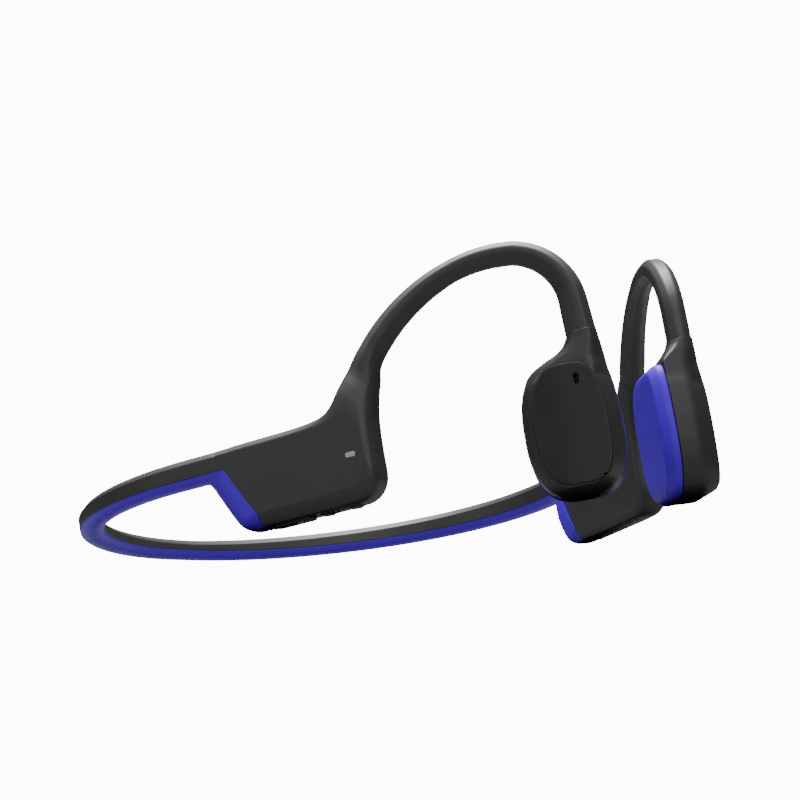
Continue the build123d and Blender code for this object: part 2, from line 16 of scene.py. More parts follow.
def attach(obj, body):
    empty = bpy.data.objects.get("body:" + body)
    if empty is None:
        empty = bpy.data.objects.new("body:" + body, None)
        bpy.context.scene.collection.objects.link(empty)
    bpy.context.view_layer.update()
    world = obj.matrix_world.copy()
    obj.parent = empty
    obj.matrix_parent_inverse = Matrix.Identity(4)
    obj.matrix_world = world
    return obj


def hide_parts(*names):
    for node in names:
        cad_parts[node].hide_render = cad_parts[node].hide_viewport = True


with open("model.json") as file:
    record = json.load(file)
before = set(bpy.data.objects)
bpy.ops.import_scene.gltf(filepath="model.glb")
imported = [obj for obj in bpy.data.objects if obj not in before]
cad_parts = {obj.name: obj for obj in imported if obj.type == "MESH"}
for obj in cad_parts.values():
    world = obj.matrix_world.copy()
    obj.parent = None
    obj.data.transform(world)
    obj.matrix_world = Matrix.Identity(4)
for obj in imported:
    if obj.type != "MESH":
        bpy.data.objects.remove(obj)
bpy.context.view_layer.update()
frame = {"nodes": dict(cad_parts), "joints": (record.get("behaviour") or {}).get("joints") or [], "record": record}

MM = 0.001

# ---------------------------------------------------------------- driving dimensions
# Neckband: arcs as radius and sweep, and levels as bottom, split and top.
NAPE_Y = -58.7
NAPE_ARC = (60.0, 37.0)
CORNER_ARC = (45.0, 19.5)
BAND_HALF_WIDTH = 2.4
TOP_BEVEL = 1.1
NAPE_LEVELS = (-2.1, -0.65, 1.7)
END_LEVELS = (-3.0, -1.5, 2.5)
GROOVE = 0.05

# Housing: bevels as depth up its height and depth into its thickness.
HOUSING_TURN = 16.0
HOUSING_OUTER = 50.8
HALF_THICKNESS = 3.6
HOUSING_BOTTOM = -13.6
HOUSING_FRONT = 22.0
HOUSING_CORNER = 4.6
LOWER_BEVEL = (2.4, 1.3)
INNER_LOWER_BEVEL = (1.9, 1.1)
SEAM_TOP = (-10.6, 2.5)
SEAM_BOTTOM = (-8.75, -1.5)
STRIPE_KNEE = (-3.2, -11.0)
STRIPE_FOOT = (-2.6, HOUSING_BOTTOM)

# Key, port and status light on the right housing.
UNDERSIDE_MIDDLE = -0.35
ROCKER_CENTRE = 12.6
PORT_CENTRE = 2.5
OVAL_SIZE = (8.8, 3.2)
OVAL_PROUD = 0.4
OVAL_FOOT = 12.1
ROCKER_GAP = 0.2
PORT_GAP = 0.03
# Raised marks on the rocker: place along it, size and height.
ROCKER_MARKS = ((-2.95, (2.7, 2.4), 0.22), (2.95, (2.7, 2.4), 0.22), (-0.95, (0.72, 0.7), 0.2))
ROCKER_SINK = 0.22
LIGHT_PLACE = (17.8, -4.8)
LIGHT_SIZE = (2.1, 0.95)
LIGHT_GAP = 0.04

# Ear hook: arcs as radius, sweep and the straight run after them; half sizes at even steps along it.
HOOK_TURN = 37.4
HOOK_FOOT = (37.6, 34.6)
HOOK_START_Z = 13.6
HOOK_START_ANGLE = 52.0
HOOK_START_RUN = 1.2
HOOK_ARCS = ((36.0, 30.0, 0.0), (26.0, 22.0, 1.0), (11.6, 86.0, 0.0))
HOOK_END_RUN = 6.1
HOOK_OVERLAP = 0.3
HOOK_RADII = (2.5, 2.05, 2.2, 2.85)
HOOK_HALF_DEPTHS = (2.5, 2.1, 2.2, 2.2)

# Pod: sizes across and up, and levels along its outward axis.
POD_CENTRE = (14.86, 60.02, -6.3)
POD_TURN = 35.0
POD_SIZE = (18.2, 25.8)
CAVITY_SIZE = (15.6, 23.2)
BROW_SIZE = (13.9, 23.0)
PLATE_SIZE = (13.6, 22.4)
RECESS_GAP = 0.07
PAD_FACE = -5.45
PAD_FLOOR = -4.35
PARTING = -2.3
POD_RIM = 1.9
CAVITY_END = 2.4
PLATE_LEVELS = (3.95, 5.45)
PLATE_BOW = 1.5
PLATE_BOW_POWER = 2.8
LEDGE_DROP = 0.06
RECESS_DEPTH = 2.5
MIC_PLACE = (2.4, 8.0)
MIC_SLOT = (2.1, 1.0)
NOTCH_PLACE = (4.82, -10.3)
NOTCH_SIZE = (0.9, 0.36)
# How square an outline's rear, upper front and lower front corners are, and how its upper front leans back.
POD_POWERS = (2.6, 8.0, 3.0)
PAD_POWERS = (2.9, 8.0, 3.0)
PLATE_POWERS = (2.6, 4.0, 4.0)
POD_LEAN = 0.14
LEAN_POWER = 1.5

# A ring this small closes a form to a point, and an edge sharper than this angle stays crisp.
POINT = (0.02, 0.02)
CREASE_ANGLE = 32.0

# ---------------------------------------------------------------- how the wearing frame lies on the table
joints = {joint["name"]: joint for joint in frame["joints"]}
mounts = {mount["name"]: mount for mount in frame["record"]["mounts"]}
pod_axis = joints["right_driver_vibration"]["axis"]
tilt = atan2(pod_axis[2], pod_axis[1])


def upright_frame(origin, turn):
    """A frame whose X points forward, Y up and Z outward, turned inwards by an angle."""
    angle = radians(turn)
    outward = Vector((cos(angle), sin(angle), 0))
    forward = Vector((-sin(angle), cos(angle), 0))
    made = Matrix((forward, Vector((0, 0, 1)), outward)).transposed().to_4x4()
    made.translation = Vector(origin)
    return made


housing_out = Vector((cos(radians(HOUSING_TURN)), sin(radians(HOUSING_TURN)), 0))
housing_frame = upright_frame(housing_out * (HOUSING_OUTER - HALF_THICKNESS), HOUSING_TURN)
hook_frame = upright_frame((*HOOK_FOOT, 0), HOOK_TURN)
pod_frame = upright_frame(POD_CENTRE, POD_TURN)
underside_frame = housing_frame @ Matrix.Translation((0, 0, UNDERSIDE_MIDDLE))
underside_frame = underside_frame @ Matrix.Rotation(pi / 2, 4, "X")

lying = Matrix.Rotation(tilt, 4, "X") @ Matrix.Scale(MM, 4)
pad_middle = Vector(mounts["right_pad_face"]["pos_m"])
lying = Matrix.Translation(pad_middle - lying @ (pod_frame @ Vector((0, 0, PAD_FACE)))) @ lying
MIRROR = Matrix.Scale(-1, 4, (1, 0, 0))


# ---------------------------------------------------------------- curves and rings
def eased(rows, steps):
    """Rows of numbers joined by smooth runs that never overshoot, with a number of steps between rows."""
    count = len(rows)
    slopes = []
    for i in range(count):
        if i == 0:
            slopes.append([after - here for here, after in zip(rows[0], rows[1])])
            continue
        if i == count - 1:
            slopes.append([here - before for before, here in zip(rows[-2], rows[-1])])
            continue
        slope = []
        for before, here, after in zip(rows[i - 1], rows[i], rows[i + 1]):
            left, right = here - before, after - here
            slope.append(2 * left * right / (left + right) if left * right > 0 else 0.0)
        slopes.append(slope)
    made = []
    for i in range(count - 1):
        for step in range(steps):
            t = step / steps
            h00, h10 = (1 + 2 * t) * (1 - t) ** 2, t * (1 - t) ** 2
            h01, h11 = t * t * (3 - 2 * t), t * t * (t - 1)
            columns = zip(rows[i], slopes[i], rows[i + 1], slopes[i + 1])
            made.append([h00 * a + h10 * m + h01 * b + h11 * n for a, m, b, n in columns])
    made.append(list(rows[-1]))
    return made


def softened(corners, radii, steps=3):
    """A closed outline with each corner rounded off, by one radius or by one for each corner."""
    if not isinstance(radii, (list, tuple)):
        radii = [radii] * len(corners)
    made = []
    for i, (corner, radius) in enumerate(zip(corners, radii)):
        before, after = Vector(corners[i - 1]), Vector(corners[(i + 1) % len(corners)])
        here = Vector(corner)
        if radius == 0:
            made.append(here)
            continue
        start = here + (before - here).normalized() * min(radius, 0.45 * (before - here).length)
        end = here + (after - here).normalized() * min(radius, 0.45 * (after - here).length)
        for step in range(steps + 1):
            t = step / steps
            made.append(start * (1 - t) ** 2 + here * 2 * t * (1 - t) + end * t * t)
    return made


def leaned(across, height, half_height):
    """The pod's front edge leans back towards its top."""
    if across <= 0 or height <= 0:
        return across
    return across * (1 - POD_LEAN * (height / half_height) ** LEAN_POWER)


def pod_outline(size, powers, count=96):
    """A rounded, slightly bulging rectangle, as square at each corner as its powers say."""
    rear, upper_front, lower_front = powers
    made = []
    for i in range(count):
        angle = 2 * pi * (i + 0.5) / count
        c, s = cos(angle), sin(angle)
        power = rear if c < 0 else upper_front if s > 0 else lower_front
        stretch = (abs(c) ** power + abs(s) ** power) ** (-1 / power)
        height = size[1] / 2 * s * stretch
        made.append(Vector((leaned(size[0] / 2 * c * stretch, height, size[1] / 2), height)))
    return made


def oval(size, grow=0.0, count=40):
    """A slot outline with its longer side along X."""
    radius = size[1] / 2 + grow
    straight = (size[0] - size[1]) / 2
    made = []
    for i in range(count):
        angle = 2 * pi * (i + 0.5) / count
        side = straight if cos(angle) > 0 else -straight
        made.append(Vector((side + radius * cos(angle), radius * sin(angle))))
    return made


def moved_outline(outline, across, along=0.0):
    """An outline moved within its own plane."""
    return [p + Vector((across, along)) for p in outline]


def grown(size, amount):
    """A size with an amount added on each of its four sides."""
    return tuple(max(POINT[0], length + 2 * amount) for length in size)


def stack(outlines_and_levels):
    """Rings square to the third axis, from outlines and their levels."""
    return [[(p[0], p[1], level) for p in outline] for outline, level in outlines_and_levels]


def pod_cup(levels, powers):
    """Rings from sizes and their distances along the pod's axis."""
    return stack([(pod_outline(size, powers), level) for size, level in levels])


# ---------------------------------------------------------------- pieces
def to_piece(name, mesh_lists, matrix, side):
    """A mesh piece from lists of rings, closed at both ends, on the right or mirrored to the left."""
    whole = (MIRROR if side == "left" else Matrix.Identity(4)) @ lying @ matrix
    bm = bmesh.new()
    for rings in mesh_lists:
        grid = [[bm.verts.new(whole @ Vector(point)) for point in ring] for ring in rings]
        for ring, following in zip(grid, grid[1:]):
            for i in range(len(ring)):
                bm.faces.new((ring[i - 1], ring[i], following[i], following[i - 1]))
        for ring in (grid[0], grid[-1]):
            bm.faces.new(ring)
    bmesh.ops.recalc_face_normals(bm, faces=bm.faces)
    mesh = bpy.data.meshes.new(name)
    bm.to_mesh(mesh)
    bm.free()
    piece = bpy.data.objects.new(name, mesh)
    bpy.context.scene.collection.objects.link(piece)
    return piece


def finished(piece, body, slot, *nodes):
    """Shades a piece, gives it its material, joins it to its body and hides the nodes it stands for."""
    piece.data.shade_smooth()
    piece.data.set_sharp_from_angle(angle=radians(CREASE_ANGLE))
    even = piece.modifiers.new("even_shading", "WEIGHTED_NORMAL")
    even.keep_sharp = True
    piece.data.materials.clear()
    piece.data.materials.append(materials[slot])
    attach(piece, body)
    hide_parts(*nodes)
    return piece


def cut_away(piece, outline, low, high, matrix, side):
    """Cuts a straight opening with an outline into a piece, between two levels of a frame."""
    cutter = to_piece("cutter", [stack([(outline, low), (outline, high)])], matrix, side)
    modifier = piece.modifiers.new("opening", "BOOLEAN")
    modifier.operation = "DIFFERENCE"
    modifier.solver = "EXACT"
    modifier.object = cutter
    bpy.context.view_layer.update()
    evaluated = piece.evaluated_get(bpy.context.evaluated_depsgraph_get())
    mesh = bpy.data.meshes.new_from_object(evaluated)
    piece.modifiers.clear()
    piece.data = mesh
    bpy.data.objects.remove(cutter)


# ---------------------------------------------------------------- materials
def added(tree, kind, **values):
    """A new node with some of its inputs set."""
    made = tree.nodes.new(f"ShaderNode{kind}")
    for name, value in values.items():
        made.inputs[name.replace("_", " ")].default_value = value
    return made


def blended(tree, share, first, second):
    """A mix of two shaders."""
    mix = added(tree, "MixShader")
    tree.links.new(share, mix.inputs["Fac"])
    tree.links.new(first.outputs[0], mix.inputs[1])
    tree.links.new(second.outputs[0], mix.inputs[2])
    return mix


def grey(shade):
    return (shade, shade, shade, 1)


COLOUR_VARIATION = 0.05
GLOSS_VARIATION = 0.03
BROAD_PATCH = 0.012
GLOSS_PATCH = 0.004
GRAIN_HEIGHT = 0.00003


def material(slot, colour, rough, grain=0.00014, relief=0.2, **sockets):
    """A finish with a fine grain and a gentle, broad variation of colour and gloss."""
    made = bpy.data.materials.new(slot)
    made.use_nodes = True
    tree = made.node_tree
    shader = tree.nodes["Principled BSDF"]
    for name, value in sockets.items():
        shader.inputs[name.replace("_", " ")].default_value = value
    place = added(tree, "TexCoord")

    def noise(size, detail):
        node = added(tree, "TexNoise", Scale=1 / size, Detail=detail)
        tree.links.new(place.outputs["Object"], node.inputs["Vector"])
        return node.outputs["Fac"]

    def ranged(source, low, high):
        node = added(tree, "MapRange", From_Min=0.3, From_Max=0.7, To_Min=low, To_Max=high)
        tree.links.new(source, node.inputs["Value"])
        return node.outputs["Result"]

    tone = added(tree, "Mix")
    tone.data_type = "RGBA"
    tone.inputs["A"].default_value = (*(c * (1 - COLOUR_VARIATION) for c in colour), 1)
    tone.inputs["B"].default_value = (*(min(1, c * (1 + COLOUR_VARIATION)) for c in colour), 1)
    tree.links.new(ranged(noise(BROAD_PATCH, 3), 0, 1), tone.inputs["Factor"])
    tree.links.new(tone.outputs["Result"], shader.inputs["Base Color"])
    gloss = ranged(noise(GLOSS_PATCH, 4), rough - GLOSS_VARIATION, rough + GLOSS_VARIATION)
    tree.links.new(gloss, shader.inputs["Roughness"])
    bump = added(tree, "Bump", Strength=relief, Distance=GRAIN_HEIGHT)
    tree.links.new(noise(grain, 2), bump.inputs["Height"])
    tree.links.new(bump.outputs["Normal"], shader.inputs["Normal"])
    return made


FINISHES = {
    "charcoal_silicone": dict(colour=(0.0165, 0.0165, 0.017), rough=0.5, Specular_IOR_Level=0.3),
    "blue_silicone": dict(colour=(0.037, 0.0, 0.34), rough=0.5, Specular_IOR_Level=0.2),
    "charcoal_soft_touch": dict(colour=(0.013, 0.013, 0.0135), rough=0.5, Specular_IOR_Level=0.3),
    "satin_cover": dict(
        colour=(0.0075, 0.0075, 0.008), rough=0.4, grain=0.00009, relief=0.1, Specular_IOR_Level=0.3
    ),
    "black_rubber": dict(colour=(0.012, 0.012, 0.012), rough=0.55),
    "nickel_titanium": dict(colour=(0.45, 0.45, 0.47), rough=0.3, Metallic=1.0),
    "cable_jacket": dict(colour=(0.02, 0.02, 0.02), rough=0.5),
    "circuit_board": dict(colour=(0.01, 0.12, 0.05), rough=0.35),
    "chip_plastic": dict(colour=(0.02, 0.02, 0.02), rough=0.5),
    "ceramic": dict(colour=(0.7, 0.7, 0.65), rough=0.4),
    "battery_pouch": dict(colour=(0.6, 0.6, 0.62), rough=0.35, Metallic=1.0),
    "copper": dict(colour=(0.72, 0.35, 0.18), rough=0.3, Metallic=1.0),
    "gold_contact": dict(colour=(0.83, 0.62, 0.25), rough=0.25, Metallic=1.0),
    "plated_steel": dict(colour=(0.55, 0.55, 0.56), rough=0.25, Metallic=1.0),
    # The microphone mesh is nearly black, far darker than bare steel: partly the mesh's own dark colour, partly
    # painted shade that keeps its slot in the plate dark under the low front light.
    "steel_mesh": dict(colour=(0.02, 0.02, 0.02), rough=0.4, Metallic=1.0),
    "light_pipe": dict(colour=(0.20, 0.20, 0.20), rough=0.4),
}
materials = {slot: material(slot, **finish) for slot, finish in FINISHES.items()}
for part in frame["record"]["subparts"]:
    carried = frame["nodes"][part["node"]]
    carried.data.materials.clear()
    carried.data.materials.append(materials[part["material_slot"]])


# ---------------------------------------------------------------- neckband
def arc_run(start, heading, radius, sweep, steps=16):
    """Points of a level arc to the left of a heading, with the last heading."""
    centre = start + Vector((-heading.y, heading.x)) * radius
    angle = radians(sweep)
    made = []
    for step in range(1, steps + 1):
        turned = Matrix.Rotation(angle * step / steps, 2)
        made.append((centre + turned @ (start - centre), turned @ heading))
    return made


def band_line():
    """The right half of the neckband's centre line, from the nape, as points with headings."""
    line = [(Vector((0, NAPE_Y)), Vector((1, 0)))]
    line += arc_run(*line[-1], *NAPE_ARC)
    line += arc_run(*line[-1], *CORNER_ARC)
    last, heading = line[-1]
    sweep = 90 + HOUSING_TURN - NAPE_ARC[1] - CORNER_ARC[1]
    room = HOUSING_OUTER - BAND_HALF_WIDTH - last.dot(housing_out.xy)
    line += arc_run(last, heading, room / (1 - cos(radians(sweep))), sweep, 24)
    return line


def band_stations(end):
    """Stations along the right half: place, outward direction and levels, up to a distance forward."""
    line = band_line()
    forward = Vector((-housing_out.y, housing_out.x))
    last, heading = line[-1]
    run = end - last.dot(forward)
    line += [(last + heading * run * share, heading) for share in (0.25, 0.5, 0.75, 1.0)]
    lengths = [0.0]
    for (a, _), (b, _) in zip(line, line[1:]):
        lengths.append(lengths[-1] + (b - a).length)
    made = []
    for (place, heading), length in zip(line, lengths):
        share = length / lengths[-1]
        levels = [a + (b - a) * share for a, b in zip(NAPE_LEVELS, END_LEVELS)]
        made.append((place, Vector((heading.y, -heading.x)), levels))
    return made


def both_halves(half):
    """Rings of the right half continued through the nape into the left half."""
    mirrored = [[(-p[0], p[1], p[2]) for p in ring] for ring in reversed(half[1:])]
    return mirrored + half


def cover_ring(place, outward, levels, shrink=0.0):
    """The neckband's upper section."""
    _, split, top = levels
    half = BAND_HALF_WIDTH - shrink
    top = top - shrink
    flat = half - TOP_BEVEL
    shoulder = top - TOP_BEVEL
    corners = [(half, split), (half, shoulder), (flat, top), (-flat, top), (-half, shoulder), (-half, split)]
    outline = softened(corners, 0.2)
    return [(*(place + outward * p.x), p.y) for p in outline]


def seam_forward(height):
    """How far forward the seam between neckband and housing is at a height."""
    share = (SEAM_TOP[1] - height) / (SEAM_TOP[1] - SEAM_BOTTOM[1])
    return SEAM_TOP[0] + (SEAM_BOTTOM[0] - SEAM_TOP[0]) * share


def neckband_cover():
    """The charcoal section over the spring wire, ending in a fine groove at each housing."""
    stations = band_stations(SEAM_TOP[0] - 1.0)
    half = [cover_ring(*station) for station in stations]
    forward = Vector((-housing_out.y, housing_out.x))
    place, outward, levels = stations[-1]
    for back, shrink in ((0.16, 0.0), (0.0, GROOVE)):
        ring = []
        for x, y, z in cover_ring(place, outward, levels, shrink):
            point = Vector((x, y))
            point += forward * (seam_forward(z) - back - point.dot(forward))
            ring.append((*point, z))
        half.append(ring)
    return to_piece("neckband_cover_skin", [both_halves(half)], Matrix.Identity(4), "right")


# Stations of the trim where it turns down behind the housing: the edge that meets the housing, the rear edge,
# the inner and outer faces, and how square the rear is.
COLLAR_STATIONS = [
    ((-14.9, -1.45), (-14.9, -2.95), -1.2, 3.6, 1.0),
    ((-12.0, -1.48), (-13.3, -3.05), -1.5, 3.6, 0.95),
    ((-8.75, -1.5), (-12.4, -4.1), -2.1, 3.6, 0.85),
    ((-7.36, -3.88), (-11.2, -6.3), -2.9, 3.6, 0.72),
    ((-5.98, -6.25), (-10.0, -8.5), -3.4, 3.6, 0.62),
    ((-4.59, -8.63), (-8.8, -10.6), -3.6, 3.6, 0.55),
    ((-3.2, -11.0), (-7.8, -12.1), -3.6, 3.6, 0.5),
    ((-2.95, -12.1), (-6.9, -13.1), -3.1, 2.9, 0.5),
    ((-2.6, -13.6), (-6.0, -13.6), -2.3, 1.6, 0.5),
]


def trim_ring(edge, rear, outward, inner, outer, square):
    """A section flat on the edge that meets the cover or housing and round on the other side."""
    middle, half = (inner + outer) / 2, (outer - inner) / 2
    ring = [edge + outward * (middle + half), edge + outward * middle, edge + outward * (middle - half)]
    for step in range(1, 20):
        angle = pi * step / 20
        depth = sin(angle) ** square
        across = -abs(cos(angle)) ** square * (1 if cos(angle) > 0 else -1)
        ring.append(edge + (rear - edge) * depth + outward * (middle + half * across))
    return [tuple(p) for p in ring]


def neckband_trim():
    """The blue section under the cover, turning down behind each housing."""
    half = []
    for place, outward, (bottom, split, _) in band_stations(COLLAR_STATIONS[0][0][0] - 0.3):
        centre = Vector((*(place - outward * (HALF_THICKNESS - BAND_HALF_WIDTH)), 0))
        across = Vector((*outward, 0))
        edge, rear = (centre + Vector((0, 0, z)) for z in (split, bottom))
        half.append(trim_ring(edge, rear, across, HALF_THICKNESS - 2 * BAND_HALF_WIDTH, HALF_THICKNESS, 1.0))
    rows = [(*edge, *rear, inner, outer, square) for edge, rear, inner, outer, square in COLLAR_STATIONS]
    for row in eased(rows, 4):
        edge, rear = (housing_frame @ Vector((*row[i : i + 2], 0)) for i in (0, 2))
        half.append(trim_ring(edge, rear, housing_out, *row[4:]))
    return to_piece("neckband_trim_skin", [both_halves(half)], Matrix.Identity(4), "right")


# ---------------------------------------------------------------- housing and ear hook, one skin
def housing_stations():
    """Stations that fan from the neckband's seam round the housing's front corner and up to the hook's foot:
    top edge, bottom edge, inner and outer faces, the top bevel, the two lower bevels and the softness."""
    top = TOP_BEVEL
    corner = (HOUSING_FRONT - HOUSING_CORNER, HOUSING_BOTTOM + HOUSING_CORNER)
    reach = HOUSING_CORNER / sqrt(2)
    inner, outer = -HALF_THICKNESS, HALF_THICKNESS
    plain = (top, *LOWER_BEVEL, *INNER_LOWER_BEVEL)
    bare = (top, 0.12, 0.12, 0.12, 0.12)
    return [
        (SEAM_TOP, SEAM_BOTTOM, -1.2, outer, bare, 0.22),
        ((-9.2, 2.55), (-7.0, -4.5), -2.0, outer, bare, 0.22),
        ((-7.6, 2.6), (-5.3, -7.4), -2.9, outer, bare, 0.22),
        ((-5.6, 2.7), STRIPE_KNEE, -3.5, outer, bare, 0.22),
        ((-4.6, 2.7), (-2.85, -12.0), inner, outer, (top, 1.0, 0.6, 0.8, 0.5), 0.25),
        ((-3.4, 2.75), STRIPE_FOOT, inner, outer, plain, 0.3),
        ((1.0, 2.8), (2.0, HOUSING_BOTTOM), inner, outer, plain, 0.3),
        ((6.0, 2.9), (7.5, HOUSING_BOTTOM), inner, outer, plain, 0.3),
        ((10.0, 3.2), (13.0, HOUSING_BOTTOM), inner, outer, plain, 0.4),
        ((12.2, 3.7), (corner[0], HOUSING_BOTTOM), inner, outer, plain, 0.8),
        ((13.3, 4.2), (corner[0] + reach, corner[1] - reach), inner, outer, plain, 1.1),
        ((14.2, 4.9), (HOUSING_FRONT, corner[1]), inner, outer, (top, 2.3, 1.5, 1.9, 1.2), 1.5),
        ((15.2, 6.0), (HOUSING_FRONT, -4.0), inner, outer, (top, 2.2, 1.7, 1.9, 1.3), 1.8),
        ((16.3, 7.6), (22.1, 0.5), -3.7, 3.4, (1.0, 2.1, 1.9, 1.8, 1.3), 1.9),
        ((17.5, 9.6), (22.6, 4.6), -3.8, 2.7, (1.1, 1.9, 1.9, 1.6, 1.3), 1.7),
        ((19.0, 12.2), (23.5, 8.4), -3.9, 1.7, (1.2, 1.5, 1.7, 1.4, 1.3), 1.3),
    ]


def direction(angle):
    return Vector((cos(radians(angle)), sin(radians(angle))))


def part_way(values, share):
    """The value at a share of the way along evenly spaced values."""
    place = share * (len(values) - 1)
    first = min(int(place), len(values) - 2)
    return values[first] + (values[first + 1] - values[first]) * (place - first)


def hook_stations():
    """Centre and angle along the hook's centre line, in the hook's plane."""
    angle = HOOK_START_ANGLE
    place = Vector((0, HOOK_START_Z))
    made = [(place, angle)]
    place = place + direction(angle) * HOOK_START_RUN
    for radius, sweep, run in HOOK_ARCS:
        centre = place + direction(angle - 90) * radius
        for step in range(1, 11):
            turned = angle - sweep * step / 10
            made.append((centre + direction(turned + 90) * radius, turned))
        place, angle = made[-1]
        place = place + direction(angle) * run
    for share in (0.3, 0.6, 1.0):
        made.append((place + direction(angle) * (HOOK_END_RUN + HOOK_OVERLAP) * share, angle))
    return made


def section_ring(a, b, outward, inner, outer, bevels, softness):
    """An eight-cornered section from its top edge to its bottom edge, between its inner and outer faces."""
    top, low, low_depth, inner_low, inner_depth = bevels
    along, length = (b - a).normalized(), (b - a).length
    corners = [
        (0, outer - top),
        (top, outer),
        (length - low, outer),
        (length, outer - low_depth),
        (length, inner + inner_depth),
        (length - inner_low, inner),
        (top, inner),
        (0, inner + top),
    ]
    return [tuple(a + along * p.x + outward * p.y) for p in softened(corners, softness)]


def skin_rings():
    """The housing's stations and then the hook's, joined by smooth runs."""
    rows = []
    for top, bottom, inner, outer, bevels, softness in housing_stations():
        a, b = (housing_frame @ Vector((*p, 0)) for p in (top, bottom))
        rows.append((*a, *b, HOUSING_TURN, inner, outer, *bevels, softness))
    stations = hook_stations()
    for i, (place, angle) in enumerate(stations):
        radius, depth = (part_way(ends, i / (len(stations) - 1)) for ends in (HOOK_RADII, HOOK_HALF_DEPTHS))
        across = direction(angle - 90)
        a, b = (hook_frame @ Vector((*(place + across * side), 0)) for side in (-radius, radius))
        bevels = (0.5 * radius, 0.85 * radius, 0.75 * depth, 0.6 * radius, 0.6 * depth)
        rows.append((*a, *b, HOOK_TURN, -depth, depth, *bevels, 0.2 * radius))
    rings = []
    for row in eased(rows, 4):
        a, b, outward = Vector(row[0:3]), Vector(row[3:6]), Vector((*direction(row[6]), 0))
        inner, outer, *bevels, softness = row[7:]
        rings.append(section_ring(a, b, outward, inner, outer, bevels, softness))
    return rings


def housing_skin(side):
    """One skin for the housing's two shells and the ear hook, with openings on the right side only."""
    skin = to_piece(f"{side}_housing_and_hook_skin", [skin_rings()], Matrix.Identity(4), side)
    if side == "right":
        for centre, gap in ((ROCKER_CENTRE, ROCKER_GAP), (PORT_CENTRE, PORT_GAP)):
            opening = moved_outline(oval(OVAL_SIZE, gap), centre)
            cut_away(skin, opening, OVAL_FOOT - 0.4, -HOUSING_BOTTOM + 1.5, underside_frame, side)
        slot = moved_outline(oval(LIGHT_SIZE, LIGHT_GAP), *LIGHT_PLACE)
        cut_away(skin, slot, 0.7, HALF_THICKNESS + 1, housing_frame, side)
    nodes = [f"{side}_housing_outer_shell", f"{side}_housing_inner_shell", f"{side}_ear_hook"]
    return finished(skin, "headset", "charcoal_silicone", *nodes)


# ---------------------------------------------------------------- volume key under the right housing
def volume_key():
    """An oval that stands proud of the underside, with rounded edges and raised marks."""
    proud = -HOUSING_BOTTOM + OVAL_PROUD - ROCKER_SINK
    edges = ((0, OVAL_FOOT), (0, proud - 0.35), (-0.1, proud - 0.1), (-0.35, proud))
    lists = [stack([(moved_outline(oval(OVAL_SIZE, grow), ROCKER_CENTRE), level) for grow, level in edges])]
    for place, size, lift in ROCKER_MARKS:
        edges = ((0, proud - 0.4), (0, proud + lift - 0.12), (-0.15, proud + lift))
        centre = ROCKER_CENTRE + place
        lists.append(stack([(moved_outline(oval(size, grow), centre), level) for grow, level in edges]))
    return to_piece("volume_key", lists, underside_frame, "right")


# ---------------------------------------------------------------- pods
def front_reach(height, size, power):
    """How far forward a pod-shaped outline reaches at a height."""
    share = min(1.0, abs(height) / (size[1] / 2))
    return leaned(size[0] / 2 * (1 - share**power) ** (1 / power), height, size[1] / 2)


def rear_reach(height, size, power):
    """How far back it reaches there; the lean is in front only."""
    return -front_reach(-abs(height), size, power)


def face_level(across):
    """How far out the pod's face is: highest along its front edge, and curving down to its rear edge."""
    back = min(1.0, max(0.0, 0.5 - across / PLATE_SIZE[0]))
    return PLATE_LEVELS[1] - PLATE_BOW * back**PLATE_BOW_POWER


# The neck's sections, going down from its seam with the hook, in the pod's frame: height, rear and front
# edges, rear and front creases of the outer face, inner face, rim, the outer face at its rear, middle and
# front, and the bevel on the inner side.
NECK_STATIONS = [
    (17.15, 2.0, 7.3, 3.1, 6.4, 0.0, 3.0, 4.5, 4.6, 4.65, 1.4),
    (17.0, 1.95, 7.35, 3.1, 6.4, 0.0, 3.0, 4.55, 4.65, 4.7, 1.4),
    (16.2, 1.5, 7.45, 2.9, 6.4, -0.2, 2.9, 4.6, 4.7, 4.75, 1.3),
    (14.9, 0.7, 7.6, 2.2, 6.3, -1.0, 2.7, 4.6, 4.8, 4.9, 0.9),
    (13.7, -0.9, 7.7, 0.9, 6.2, -1.9, 2.4, 4.5, 4.9, 5.0, 0.4),
    (12.7, -3.3, 7.8, -0.8, 6.1, PARTING, 2.1, 4.3, 4.95, 5.15, 0.1),
    (11.5, -5.7, 7.9, -3.1, 6.0, PARTING, 1.9, 3.9, 4.95, 5.25, 0.1),
    (10.2, -7.0, 8.05, -4.6, 6.0, PARTING, POD_RIM, 3.7, 4.95, 5.3, 0.1),
]
SHELL_HEIGHTS = (8.6, 7.0, 4.5, 1.5, -2.0, -5.0, -7.5, -9.3, -10.6, -11.4, -12.0, -12.4, -12.7, -12.86)


def shell_stations():
    """The neck's stations, then the shell's down to its lowest point."""
    made = list(NECK_STATIONS)
    rear_power, upper_power, lower_power = POD_POWERS
    for height in SHELL_HEIGHTS:
        front_power = upper_power if height > 0 else lower_power
        rear, front = rear_reach(height, POD_SIZE, rear_power), front_reach(height, POD_SIZE, front_power)
        past = max(0.0, (abs(height) - BROW_SIZE[1] / 2) / (POD_SIZE[1] - BROW_SIZE[1]) * 2)
        rear_crease = min(rear_reach(height, BROW_SIZE, rear_power), 0.45 * rear)
        front_crease = max(front_reach(height, BROW_SIZE, PLATE_POWERS[2]), 0.45 * front)
        middle = (rear_crease + front_crease) / 2
        levels = []
        for across in (rear_crease, middle, front_crease):
            level = face_level(across) - LEDGE_DROP
            levels.append(level - (level - POD_RIM) * past)
        made.append((height, rear, front, rear_crease, front_crease, PARTING, POD_RIM, *levels, 0.1))
    return made


